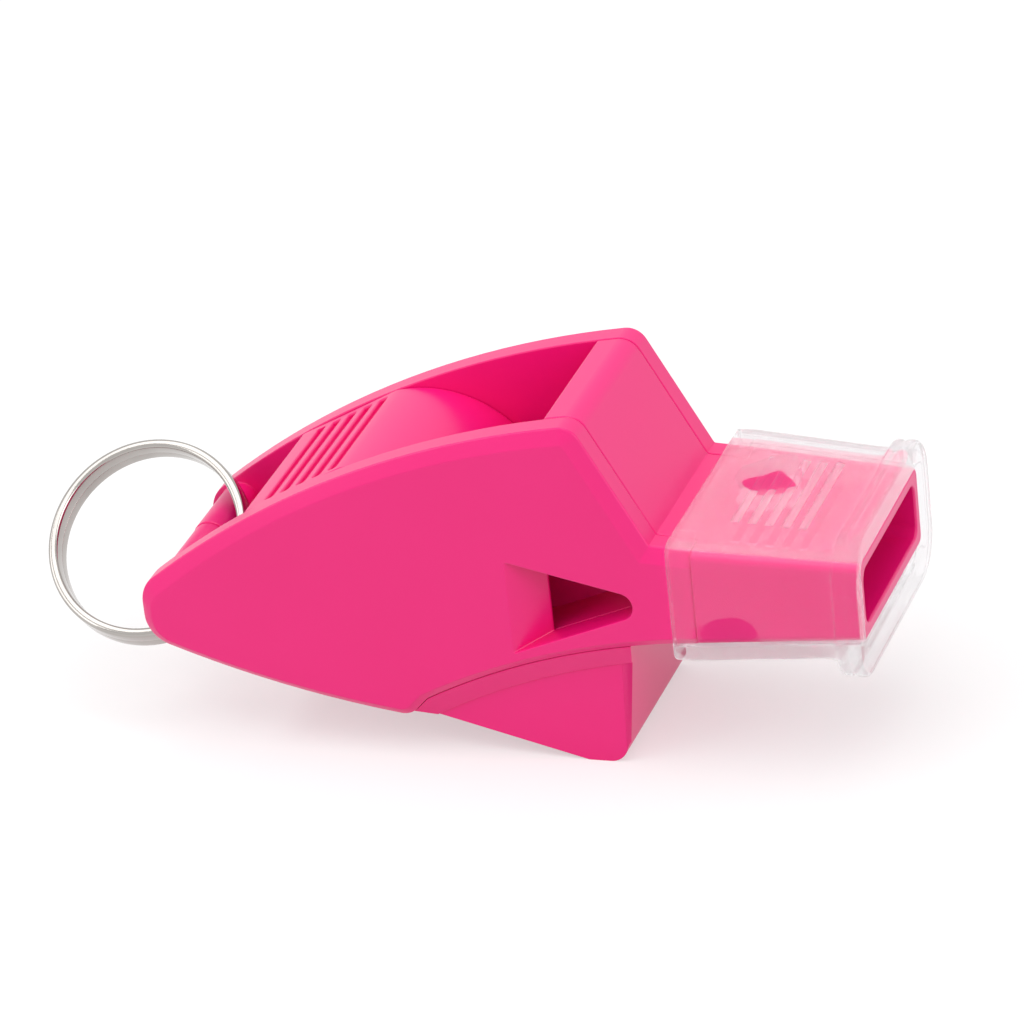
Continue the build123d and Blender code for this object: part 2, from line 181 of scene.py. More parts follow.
# Sockets of a Mix node for colours
MIX_FACTOR = 0
MIX_FIRST = 6
MIX_SECOND = 7
MIX_RESULT = 2

# Light and camera, with the name, place, size and power of each lamp
WORLD_LIGHT = 0.64
FLOOR_GLOW = 0.5
FLOOR_ROUGHNESS = 0.9
LAMPS = (
    ("top_softbox", (-0.05, -0.10, 0.70), 0.70, 2.5),
    ("right_softbox", (0.55, -0.35, 0.40), 0.45, 1.4),
    ("left_softbox", (-0.55, -0.35, 0.35), 0.45, 1.0),
)
CAMERA_RIGHT = Vector((0.9467, 0.3070, -0.0979))
CAMERA_UP = Vector((-0.0541, 0.4509, 0.8909))
CAMERA_BACK = Vector((0.3177, -0.8381, 0.4435))
SENSOR_WIDTH = 36
WHITE = (1, 1, 1, 1)


class WhistlePlasticSettings(PropertyGroup):
    """Finish of the pink mouldings."""

    colour: FloatVectorProperty(
        name="Plastic colour",
        description="Base colour of the moulded plastic",
        subtype="COLOR",
        size=4,
        min=0,
        max=1,
        default=(0.87, 0.006, 0.20, 1),
    )
    flow_colour: FloatVectorProperty(
        name="Flow colour",
        description="Slightly deeper colour where the plastic flowed more slowly",
        subtype="COLOR",
        size=4,
        min=0,
        max=1,
        default=(0.83, 0.004, 0.18, 1),
    )
    edge_round: FloatProperty(
        name="Edge rounding",
        description="Width of the rounding on the moulded edges",
        subtype="DISTANCE",
        unit="LENGTH",
        default=0.16 * MM,
    )
    fin_round: FloatProperty(
        name="Fin rounding",
        description="Rounding of the two upright edges at the front of the lower fin",
        subtype="DISTANCE",
        unit="LENGTH",
        default=1.0 * MM,
    )


class WhistleCoverSettings(PropertyGroup):
    """Sizes and finish of the clear mouth cover."""

    rear_width: FloatProperty(
        name="Rear width",
        description="Width of the sleeve over the root of the mouthpiece",
        subtype="DISTANCE",
        unit="LENGTH",
        default=20.2 * MM,
    )
    rear_height: FloatProperty(
        name="Rear height",
        description="Height of the sleeve over the root of the mouthpiece",
        subtype="DISTANCE",
        unit="LENGTH",
        default=9.8 * MM,
    )
    wall: FloatProperty(
        name="Wall",
        description="Thickness of the sleeve",
        subtype="DISTANCE",
        unit="LENGTH",
        default=0.9 * MM,
    )
    corner: FloatProperty(
        name="Corner",
        description="Radius of the four long corners",
        subtype="DISTANCE",
        unit="LENGTH",
        default=1.2 * MM,
    )
    lip_corner: FloatProperty(
        name="Lip corner",
        description="Radius of the four corners of the flared lip",
        subtype="DISTANCE",
        unit="LENGTH",
        default=3.6 * MM,
    )
    inner_corner: FloatProperty(
        name="Inner corner",
        description="Radius of the four corners inside the sleeve",
        subtype="DISTANCE",
        unit="LENGTH",
        default=0.5 * MM,
    )
    lap: FloatProperty(
        name="Lap",
        description="Length of the sleeve that doesn't taper",
        subtype="DISTANCE",
        unit="LENGTH",
        default=1.5 * MM,
    )
    taper_width: FloatProperty(
        name="Taper of the width",
        description="How much narrower the sleeve is at the mouth",
        subtype="DISTANCE",
        unit="LENGTH",
        default=1.6 * MM,
    )
    taper_height: FloatProperty(
        name="Taper of the height",
        description="How much lower the sleeve is at the mouth",
        subtype="DISTANCE",
        unit="LENGTH",
        default=1.4 * MM,
    )
    rib_count: IntProperty(
        name="Ribs",
        description="Grip ribs on the top, and as many on the bottom",
        min=1,
        default=5,
    )
    rib_pitch: FloatProperty(
        name="Rib pitch",
        description="Distance from rib to rib",
        subtype="DISTANCE",
        unit="LENGTH",
        default=1.27 * MM,
    )
    rib_margin: FloatProperty(
        name="Rib margin",
        description="Distance from the mouth to the first rib",
        subtype="DISTANCE",
        unit="LENGTH",
        default=4.9 * MM,
    )
    rib_width: FloatProperty(
        name="Rib width",
        description="Width of a rib at its foot",
        subtype="DISTANCE",
        unit="LENGTH",
        default=0.66 * MM,
    )
    rib_length: FloatProperty(
        name="Rib length",
        description="Length of a rib across the cover",
        subtype="DISTANCE",
        unit="LENGTH",
        default=10.8 * MM,
    )
    rib_height: FloatProperty(
        name="Rib height",
        description="Height of a rib above the sleeve",
        subtype="DISTANCE",
        unit="LENGTH",
        default=0.35 * MM,
    )
    colour: FloatVectorProperty(
        name="Cover colour",
        description="Tint of the clear cover",
        subtype="COLOR",
        size=4,
        min=0,
        max=1,
        default=(0.91, 0.91, 0.92, 1),
    )
    through_colour: FloatVectorProperty(
        name="Through colour",
        description="Tint of the light that passes straight through one face of the cover",
        subtype="COLOR",
        size=4,
        min=0,
        max=1,
        default=(0.965, 0.965, 0.97, 1),
    )
    contact_colour: FloatVectorProperty(
        name="Contact colour",
        description="Tint where the cover clings to the plastic under it",
        subtype="COLOR",
        size=4,
        min=0,
        max=1,
        default=(1.0, 0.32, 0.68, 1),
    )


class WhistleRingSettings(PropertyGroup):
    """Sizes and finish of the steel split ring."""

    diameter: FloatProperty(
        name="Diameter",
        description="Outer diameter of the ring",
        subtype="DISTANCE",
        unit="LENGTH",
        default=15.99 * MM,
    )
    wire_width: FloatProperty(
        name="Wire width",
        description="Width of the flat wire, from inside to outside",
        subtype="DISTANCE",
        unit="LENGTH",
        default=0.75 * MM,
    )
    wire_thickness: FloatProperty(
        name="Wire thickness",
        description="Thickness of the flat wire, along the axis of the ring",
        subtype="DISTANCE",
        unit="LENGTH",
        default=1.2 * MM,
    )
    face_round: FloatProperty(
        name="Face rounding",
        description="Radius of the corners on the faces of the ring",
        subtype="DISTANCE",
        unit="LENGTH",
        default=0.3 * MM,
    )
    joint_round: FloatProperty(
        name="Joint rounding",
        description="Radius of the corners where the two turns meet",
        subtype="DISTANCE",
        unit="LENGTH",
        default=0.03 * MM,
    )
    turn_gap: FloatProperty(
        name="Gap",
        description="Gap between the two turns",
        subtype="DISTANCE",
        unit="LENGTH",
        default=0.02 * MM,
    )
    tilt: FloatProperty(
        name="Tilt",
        description="Lean of the ring out of the plane of symmetry",
        subtype="ANGLE",
        unit="ROTATION",
        default=radians(46),
    )
    start: FloatProperty(
        name="Start",
        description="Angle round the ring where the first turn starts",
        subtype="ANGLE",
        unit="ROTATION",
        default=radians(292),
    )
    jog: FloatProperty(
        name="Jog",
        description="Angle over which the wire steps from one turn to the other",
        subtype="ANGLE",
        unit="ROTATION",
        default=radians(40),
    )
    end_gap: FloatProperty(
        name="End gap",
        description="Angle between the end of a turn and the jog",
        subtype="ANGLE",
        unit="ROTATION",
        default=radians(12),
    )
    colour: FloatVectorProperty(
        name="Steel colour",
        description="Colour of the bright plated steel",
        subtype="COLOR",
        size=4,
        min=0,
        max=1,
        default=(0.50, 0.475, 0.45, 1),
    )
    shade_colour: FloatVectorProperty(
        name="Shaded steel colour",
        description="Colour of the drawing marks along the wire",
        subtype="COLOR",
        size=4,
        min=0,
        max=1,
        default=(0.38, 0.355, 0.335, 1),
    )


class WhistleStageSettings(PropertyGroup):
    """Camera, floor and light."""

    lens: FloatProperty(
        name="Lens",
        description="Focal length of the camera, in millimetres",
        default=216.17,
    )
    camera_place: FloatVectorProperty(
        name="Camera place",
        description="Place of the camera from the middle of the mouth",
        subtype="TRANSLATION",
        unit="LENGTH",
        default=(116.42 * MM, -383.94 * MM, 204.79 * MM),
    )
    floor_size: FloatProperty(
        name="Floor size",
        description="Side of the square floor",
        subtype="DISTANCE",
        unit="LENGTH",
        default=4.0,
    )
    floor_colour: FloatVectorProperty(
        name="Floor colour",
        description="Colour of the floor",
        subtype="COLOR",
        size=4,
        min=0,
        max=1,
        default=(0.97, 0.97, 0.97, 1),
    )
    floor_bounce: FloatVectorProperty(
        name="Floor bounce",
        description="Colour of the light that the floor throws back onto the object",
        subtype="COLOR",
        size=4,
        min=0,
        max=1,
        default=(0.66, 0.66, 0.66, 1),
    )


SETTINGS = {
    "whistle_plastic": WhistlePlasticSettings,
    "whistle_cover": WhistleCoverSettings,
    "whistle_ring": WhistleRingSettings,
    "whistle_stage": WhistleStageSettings,
}


# Selecting and editing


def deselect_all():
    """Leave nothing selected, in object mode."""
    bpy.ops.object.select_all(action="DESELECT")


def start_edit(piece):
    """Open a piece in edit mode with nothing in it selected."""
    deselect_all()
    piece.select_set(True)
    bpy.context.view_layer.objects.active = piece
    bpy.ops.object.mode_set(mode="EDIT")
    bpy.ops.mesh.select_all(action="DESELECT")


def end_edit():
    """Go back to object mode."""
    bpy.ops.object.mode_set(mode="OBJECT")


def pick(piece, mode, test):
    """Select what passes the test, and nothing else: vertices, edges or faces of the piece in edit mode."""
    bpy.ops.mesh.select_mode(type=mode)
    bpy.ops.mesh.select_all(action="DESELECT")
    mesh = bmesh.from_edit_mesh(piece.data)
    parts = {"VERT": mesh.verts, "EDGE": mesh.edges, "FACE": mesh.faces}[mode]
    chosen = [part for part in parts if test(part)]
    if not chosen:
        raise RuntimeError(f"nothing to select on {piece.name}")
    for part in chosen:
        part.select_set(True)
    mesh.select_flush_mode()
    bmesh.update_edit_mesh(piece.data)


def middle(edge):
    """Middle of an edge."""
    return (edge.verts[0].co + edge.verts[1].co) / 2


def direction(edge):
    """Unit vector along an edge."""
    return (edge.verts[1].co - edge.verts[0].co).normalized()


def bisect_all(place, normal):
    """Cut every face of the piece in edit mode along a plane."""
    bpy.ops.mesh.select_all(action="SELECT")
    bpy.ops.mesh.bisect(plane_co=place, plane_no=normal, threshold=MERGE_DISTANCE)
    bpy.ops.mesh.select_all(action="DESELECT")


def settle(piece):
    """Put the place of an object into its mesh."""
    deselect_all()
    piece.select_set(True)
    bpy.context.view_layer.objects.active = piece
    bpy.ops.object.transform_apply(location=True, rotation=True, scale=True)


def round_edges(piece, width, segments, least_angle):
    """Round the sharp edges of a finished piece and smooth its shading."""
    deselect_all()
    piece.select_set(True)
    bpy.context.view_layer.objects.active = piece
    bevel = piece.modifiers.new("edge_round", "BEVEL")
    bevel.width = width
    bevel.segments = segments
    bevel.limit_method = "ANGLE"
    bevel.angle_limit = least_angle
    bevel.use_clamp_overlap = True
    bevel.miter_outer = "MITER_ARC"
    bpy.ops.object.modifier_apply(modifier=bevel.name)
    bpy.ops.object.shade_smooth_by_angle(angle=least_angle)
    weights = piece.modifiers.new("flat_faces", "WEIGHTED_NORMAL")
    weights.keep_sharp = True
    bpy.ops.object.modifier_apply(modifier=weights.name)


def dress(piece, body, node):
    """Give a finished piece its body, and hide the node that it stands for."""
    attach(piece, body)
    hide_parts(node)


# Materials


def moulded_skin():
    """Group: slow flow shading, fine grain and scuffs of a moulded surface."""
    name = "moulded_skin"
    if name in bpy.data.node_groups:
        return bpy.data.node_groups[name]
    group = bpy.data.node_groups.new(name, "ShaderNodeTree")
    group.interface.new_socket("Vector", in_out="INPUT", socket_type="NodeSocketVector")
    group.interface.new_socket("Flow Scale", in_out="INPUT", socket_type="NodeSocketFloat")
    group.interface.new_socket("Grain Scale", in_out="INPUT", socket_type="NodeSocketFloat")
    group.interface.new_socket("Flow", in_out="OUTPUT", socket_type="NodeSocketFloat")
    group.interface.new_socket("Scuff", in_out="OUTPUT", socket_type="NodeSocketFloat")
    group.interface.new_socket("Height", in_out="OUTPUT", socket_type="NodeSocketFloat")
    nodes = group.nodes
    links = group.links
    source = nodes.new("NodeGroupInput")
    sink = nodes.new("NodeGroupOutput")

    flow = nodes.new("ShaderNodeTexNoise")
    flow.inputs["Detail"].default_value = 2
    links.new(source.outputs["Vector"], flow.inputs["Vector"])
    links.new(source.outputs["Flow Scale"], flow.inputs["Scale"])
    links.new(flow.outputs["Fac"], sink.inputs["Flow"])

    stretch = nodes.new("ShaderNodeMapping")
    stretch.inputs["Scale"].default_value = MARK_STRETCH
    stretch.inputs["Rotation"].default_value = MARK_TURN
    links.new(source.outputs["Vector"], stretch.inputs["Vector"])
    hairs = nodes.new("ShaderNodeTexNoise")
    hairs.inputs["Detail"].default_value = 4
    links.new(stretch.outputs["Vector"], hairs.inputs["Vector"])
    links.new(source.outputs["Grain Scale"], hairs.inputs["Scale"])
    sparse = nodes.new("ShaderNodeMapRange")
    sparse.inputs["From Min"].default_value = MARK_RANGE[0]
    sparse.inputs["From Max"].default_value = MARK_RANGE[1]
    links.new(hairs.outputs["Fac"], sparse.inputs["Value"])
    links.new(sparse.outputs["Result"], sink.inputs["Scuff"])

    grain = nodes.new("ShaderNodeTexNoise")
    grain.inputs["Detail"].default_value = 3
    links.new(source.outputs["Vector"], grain.inputs["Vector"])
    links.new(source.outputs["Grain Scale"], grain.inputs["Scale"])
    links.new(grain.outputs["Fac"], sink.inputs["Height"])
    return group


def new_material(name, finish, rough_mask):
    """Material with its tree, its shader and Object coordinates, and a skin that roughens and bumps it."""
    flow_scale, grain_scale, roughness, bump_strength, bump_depth = finish
    material = bpy.data.materials.new(name)
    material.use_nodes = True
    tree = material.node_tree
    shader = tree.nodes["Principled BSDF"]
    place = tree.nodes.new("ShaderNodeTexCoord")
    skin = tree.nodes.new("ShaderNodeGroup")
    skin.node_tree = moulded_skin()
    skin.inputs["Flow Scale"].default_value = flow_scale
    skin.inputs["Grain Scale"].default_value = grain_scale
    tree.links.new(place.outputs["Object"], skin.inputs["Vector"])
    rough = map_value(tree, skin.outputs[rough_mask], *roughness)
    tree.links.new(rough, shader.inputs["Roughness"])
    add_bump(tree, shader, skin.outputs["Height"], bump_strength, bump_depth)
    return material, tree, shader, place.outputs["Object"], skin


def mix_colours(tree, factor, first, second):
    """Mix node between two colours, led by a factor socket."""
    mix = tree.nodes.new("ShaderNodeMix")
    mix.data_type = "RGBA"
    mix.inputs[MIX_FIRST].default_value = first
    mix.inputs[MIX_SECOND].default_value = second
    tree.links.new(factor, mix.inputs[MIX_FACTOR])
    return mix.outputs[MIX_RESULT]


def map_value(tree, value, low, high):
    """Map a value from 0 to 1 onto a range."""
    span = tree.nodes.new("ShaderNodeMapRange")
    span.inputs["To Min"].default_value = low
    span.inputs["To Max"].default_value = high
    tree.links.new(value, span.inputs["Value"])
    return span.outputs["Result"]


def combine(tree, operation, first, second):
    """Math node on two value sockets."""
    node = tree.nodes.new("ShaderNodeMath")
    node.operation = operation
    tree.links.new(first, node.inputs[0])
    tree.links.new(second, node.inputs[1])
    return node.outputs["Value"]


def add_bump(tree, shader, height, strength, distance):
    """Bump node that feeds the shader's normal."""
    bump = tree.nodes.new("ShaderNodeBump")
    bump.inputs["Strength"].default_value = strength
    bump.inputs["Distance"].default_value = distance
    tree.links.new(height, bump.inputs["Height"])
    tree.links.new(bump.outputs["Normal"], shader.inputs["Normal"])


def pink_plastic(settings):
    """Glossy moulded plastic with faint flow shading and grain."""
    material, tree, shader, _, skin = new_material("pink_plastic", PLASTIC_SKIN, "Flow")
    colour = mix_colours(tree, skin.outputs["Flow"], settings.flow_colour, settings.colour)
    tree.links.new(colour, shader.inputs["Base Color"])
    shader.inputs["IOR"].default_value = PLASTIC_IOR
    return material


def contact_patch(tree, place, spread, centre, reach):
    """Mask of one patch where the cover clings: 1 inside, with an uneven edge."""
    spot = tree.nodes.new("ShaderNodeMapping")
    spot.inputs["Scale"].default_value = [1 / size for size in reach]
    spot.inputs["Location"].default_value = [-at / size for at, size in zip(centre, reach)]
    tree.links.new(place, spot.inputs["Vector"])
    distance = tree.nodes.new("ShaderNodeVectorMath")
    distance.operation = "LENGTH"
    tree.links.new(spot.outputs["Vector"], distance.inputs[0])
    uneven = combine(tree, "ADD", distance.outputs["Value"], spread)
    inside = tree.nodes.new("ShaderNodeMapRange")
    inside.inputs["From Min"].default_value = PATCH_OUTSIDE
    inside.inputs["From Max"].default_value = PATCH_INSIDE
    tree.links.new(uneven, inside.inputs["Value"])
    return inside.outputs["Result"]


def clear_cover(settings, name, finish, clearness, openness):
    """Clear soft plastic, more or less frosted, with deeper patches where it clings."""
    material, tree, shader, place, _ = new_material(name, finish, "Flow")
    ragged = tree.nodes.new("ShaderNodeTexNoise")
    ragged.inputs["Scale"].default_value = PATCH_SCALE
    ragged.inputs["Detail"].default_value = 1
    tree.links.new(place, ragged.inputs["Vector"])
    spread = map_value(tree, ragged.outputs["Fac"], -PATCH_SPREAD, PATCH_SPREAD)
    sleeve_top = settings.rear_height / 2
    sleeve_side = settings.rear_width / 2
    # Centre of each patch from the middle of the mouth, and its reach
    patches = (
        ((-9.4 * MM, 2.6 * MM, sleeve_top), (2.3 * MM, 2.9 * MM, 1.5 * MM)),
        ((-10.0 * MM, -sleeve_side, -2.3 * MM), (2.4 * MM, 1.5 * MM, 1.5 * MM)),
        ((-8.6 * MM, -sleeve_side, -3.6 * MM), (5.0 * MM, 1.5 * MM, 0.7 * MM)),
    )
    cling = None
    for centre, reach in patches:
        spot = Vector(centre) + Vector((mouth_x, 0, axis_z))
        mask = contact_patch(tree, place, spread, spot, reach)
        cling = combine(tree, "MAXIMUM", cling, mask) if cling else mask
    colour = mix_colours(tree, cling, settings.colour, settings.contact_colour)
    tree.links.new(colour, shader.inputs["Base Color"])
    shader.inputs["Transmission Weight"].default_value = clearness
    shader.inputs["IOR"].default_value = COVER_IOR
    shader.inputs["Coat Weight"].default_value = COVER_COAT
    shader.inputs["Coat Roughness"].default_value = COVER_COAT_ROUGHNESS
    path = tree.nodes.new("ShaderNodeLightPath")
    edge = tree.nodes.new("ShaderNodeLayerWeight")
    slant = combine(tree, "MULTIPLY", edge.outputs["Facing"], edge.outputs["Facing"])
    open_share = map_value(tree, slant, openness, 0)
    open_share = combine(tree, "ADD", open_share, map_value(tree, cling, 0, PATCH_CLEARER))
    clear = tree.nodes.new("ShaderNodeBsdfTransparent")
    clear.inputs["Color"].default_value = settings.through_colour
    mix = tree.nodes.new("ShaderNodeMixShader")
    see_through = combine(tree, "MAXIMUM", open_share, path.outputs["Is Shadow Ray"])
    tree.links.new(see_through, mix.inputs["Fac"])
    tree.links.new(shader.outputs["BSDF"], mix.inputs[1])
    tree.links.new(clear.outputs["BSDF"], mix.inputs[2])
    tree.links.new(mix.outputs["Shader"], tree.nodes["Material Output"].inputs["Surface"])
    return material


def ring_steel(settings):
    """Bright plated steel with drawing marks."""
    material, tree, shader, _, skin = new_material("ring_steel", STEEL_SKIN, "Scuff")
    colour = mix_colours(tree, skin.outputs["Flow"], settings.shade_colour, settings.colour)
    tree.links.new(colour, shader.inputs["Base Color"])
    shader.inputs["Metallic"].default_value = 1
    return material


def seen_ray(tree):
    """Socket that is 1 for what the camera sees, directly, in gloss or through glass."""
    path = tree.nodes.new("ShaderNodeLightPath")
    seen = path.outputs["Is Camera Ray"]
    for ray in ("Is Glossy Ray", "Is Transmission Ray"):
        seen = combine(tree, "MAXIMUM", seen, path.outputs[ray])
    return seen


# Operators


class WHISTLE_OT_mouldings(Operator):
    """Soften the edges of the pink mouldings and give them their plastic"""

    bl_idname = "whistle.mouldings"
    bl_label = "Pink mouldings"

    def execute(self, context):
        settings = context.scene.whistle_plastic
        material = pink_plastic(settings)
        for node in MOULDINGS:
            piece = self.copy_node(node)
            if node == "lower_fin":
                self.round_fin(piece, settings.fin_round)
            round_edges(piece, settings.edge_round, EDGE_STEPS, MOULDING_SHARP)
            piece.data.materials.clear()
            piece.data.materials.append(material)
            dress(piece, "whistle_body", node)
        return {"FINISHED"}

    def copy_node(self, node):
        """Copy of a node, merged to whole faces."""
        deselect_all()
        source = frame["nodes"][node]
        source.select_set(True)
        bpy.context.view_layer.objects.active = source
        bpy.ops.object.duplicate()
        piece = bpy.context.active_object
        piece.name = node + "_moulding"
        piece.data.name = piece.name
        bpy.ops.object.parent_clear(type="CLEAR_KEEP_TRANSFORM")
        del piece["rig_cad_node"]
        start_edit(piece)
        bpy.ops.mesh.select_all(action="SELECT")
        bpy.ops.mesh.customdata_custom_splitnormals_clear()
        bpy.ops.mesh.remove_doubles(threshold=MERGE_DISTANCE)
        if node == "grip_panel":
            bpy.ops.mesh.tris_convert_to_quads(face_threshold=FLAT_ANGLE, shape_threshold=radians(180))
        else:
            bpy.ops.mesh.dissolve_limited(angle_limit=FLAT_ANGLE)
        end_edit()
        return piece

    def round_fin(self, piece, radius):
        """Round the two upright edges at the front of the fin."""
        start_edit(piece)
        half_width = fin_high.y - FIN_SIDE_INSET
        front = fin_high.x - FIN_FRONT_DEPTH

        def is_upright(edge):
            place = middle(edge)
            outside = abs(abs(place.y) - half_width) < FIN_SIDE_PLAY
            long = (edge.verts[1].co - edge.verts[0].co).length > FIN_LEAST_LENGTH * radius
            return outside and long and abs(direction(edge).z) > ALIGNED and place.x > front

        pick(piece, "EDGE", is_upright)
        bpy.ops.mesh.bevel(offset=radius, segments=FIN_ROUND_STEPS, affect="EDGES", clamp_overlap=False)
        end_edit()


class WHISTLE_OT_mouth_cover(Operator):
    """Model the clear mouth cover with its flange and ribs"""

    bl_idname = "whistle.mouth_cover"
    bl_label = "Mouth cover"

    def execute(self, context):
        settings = context.scene.whistle_cover
        piece = self.make_sleeve(settings)
        piece.data.materials.append(clear_cover(settings, "clear_cover", CLEAR_SKIN, *CLEAR_SHARES))
        piece.data.materials.append(clear_cover(settings, "frosted_ribs", FROSTED_SKIN, *FROSTED_SHARES))
        self.shape_sections(piece, settings)
        self.raise_ribs(piece, settings)
        self.make_wall(piece, settings)
        end_edit()
        round_edges(piece, COVER_EDGE_ROUND, EDGE_STEPS, COVER_SHARP)
        dress(piece, "mouth_cover", "mouth_cover")
        return {"FINISHED"}

    def make_sleeve(self, settings):
        """Open sleeve with four round corners, from the rear edge to the lip."""
        length = cover_high.x - cover_low.x
        deselect_all()
        bpy.ops.mesh.primitive_cube_add(
            size=1,
            location=((cover_low.x + cover_high.x) / 2, 0, axis_z),
            scale=(length, settings.rear_width, settings.rear_height),
        )
        piece = bpy.context.active_object
        piece.name = "clear_mouth_cover"
        settle(piece)
        start_edit(piece)
        pick(piece, "EDGE", lambda edge: abs(direction(edge).x) > ALIGNED)
        bpy.ops.mesh.bevel(offset=settings.corner, segments=COVER_CORNER_STEPS, affect="EDGES")
        pick(piece, "FACE", lambda face: abs(face.normal.x) > ALIGNED)
        bpy.ops.mesh.delete(type="FACE")
        return piece

    def taper(self, settings, x):
        """Width and height of the tapered sleeve at x."""
        root_x = cover_low.x + settings.lap
        share = max(0, (x - root_x) / (mouth_x - root_x))
        width = settings.rear_width - settings.taper_width * share
        height = settings.rear_height - settings.taper_height * share
        return width, height

    def lip_section(self, settings, x, share):
        """Width, height, corner and level at x, a share of the way from the sleeve to the lip."""
        width, height = self.taper(settings, x)
        width += (cover_high.y - cover_low.y - width) * share
        height += (cover_high.z - cover_low.z - height) * share
        corner = settings.corner + (settings.lip_corner - settings.corner) * share
        return width, height, corner, axis_z + (lip_z - axis_z) * share

    def bore_section(self, settings, x, grow):
        """Width, height, corner and level at x of the inside of the sleeve, grown all round."""
        width, height = self.taper(settings, x)
        shrink = 2 * (settings.wall - grow)
        return width - shrink, height - shrink, settings.inner_corner + grow, axis_z

    def reshape(self, piece, old, new):
        """Change the selected section from an old width, height, corner and level to new ones."""
        mesh = bmesh.from_edit_mesh(piece.data)
        for vert in mesh.verts:
            if not vert.select:
                continue
            for side, old_middle, new_middle in ((0, 0, 0), (1, old[3], new[3])):
                offset = vert.co[side + 1] - old_middle
                old_flat = old[side] / 2 - old[2]
                new_flat = new[side] / 2 - new[2]
                on_flat = min(abs(offset), old_flat)
                on_corner = abs(offset) - on_flat
                reach = on_flat * new_flat / old_flat + on_corner * new[2] / old[2]
                vert.co[side + 1] = new_middle + copysign(reach, offset)
        bmesh.update_edit_mesh(piece.data)

    def shape_sections(self, piece, settings):
        """Cut the sleeve into sections, taper it and flare it into the beaded lip."""
        plain = (settings.rear_width, settings.rear_height, settings.corner, axis_z)
        sections = [(cover_low.x, REAR_TUCK), (cover_low.x + REAR_ROUND, 0), (cover_low.x + settings.lap, 0)]
        sections += [(mouth_x - back, share) for back, share in LIP_PROFILE]
        sections += [(cover_high.x, LIP_FRONT_SHARE)]
        for x, _ in sections[1:-1]:
            bisect_all((x, 0, 0), (1, 0, 0))
        for x, share in sections:
            pick(piece, "VERT", lambda vert: abs(vert.co.x - x) < NEAR)
            self.reshape(piece, plain, self.lip_section(settings, x, share))

    def raise_ribs(self, piece, settings):
        """Raise the grip ribs on the top and the bottom."""
        half_rib = settings.rib_width / 2
        half_length = settings.rib_length / 2
        first = mouth_x - settings.rib_margin
        centres = [first - index * settings.rib_pitch for index in range(settings.rib_count)]
        for x in centres:
            bisect_all((x - half_rib, 0, 0), (1, 0, 0))
            bisect_all((x + half_rib, 0, 0), (1, 0, 0))
        for y in (-half_length, half_length):
            bisect_all((0, y, 0), (0, 1, 0))

        def is_rib(face):
            place = face.calc_center_median()
            level = abs(face.normal.z) > ALIGNED
            inside = abs(place.y) < half_length
            return level and inside and any(abs(place.x - x) < half_rib for x in centres)

        pick(piece, "FACE", is_rib)
        bpy.ops.mesh.extrude_region_shrink_fatten(
            TRANSFORM_OT_shrink_fatten={"value": -RIB_FLANK * settings.rib_height}
        )
        bpy.ops.mesh.inset(thickness=RIB_SLOPE * settings.rib_width, depth=RIB_CROWN * settings.rib_height)
        bpy.ops.mesh.select_more(use_face_step=False)
        piece.active_material_index = 1
        bpy.ops.object.material_slot_assign()

    def make_wall(self, piece, settings):
        """Turn the skin into a wall: fold the lip in and line the sleeve back to its rear edge."""
        folds = (
            (cover_high.x, LIP_FOLD),
            (cover_high.x - LIP_FOLD, 0),
            (cover_low.x + settings.lap, 0),
            (cover_low.x, 0),
        )
        pick(
            piece,
            "EDGE",
            lambda edge: edge.is_boundary and abs(middle(edge).x - cover_high.x) < NEAR,
        )
        old = self.lip_section(settings, cover_high.x, LIP_FRONT_SHARE)
        old_x = cover_high.x
        for x, grow in folds:
            new = self.bore_section(settings, x, grow)
            bpy.ops.mesh.extrude_region_move(TRANSFORM_OT_translate={"value": (x - old_x, 0, 0)})
            self.reshape(piece, old, new)
            old = new
            old_x = x
        pick(
            piece,
            "EDGE",
            lambda edge: edge.is_boundary and abs(middle(edge).x - cover_low.x) < NEAR,
        )
        bpy.ops.mesh.bridge_edge_loops()
        bpy.ops.mesh.select_all(action="SELECT")
        bpy.ops.mesh.normals_make_consistent(inside=False)


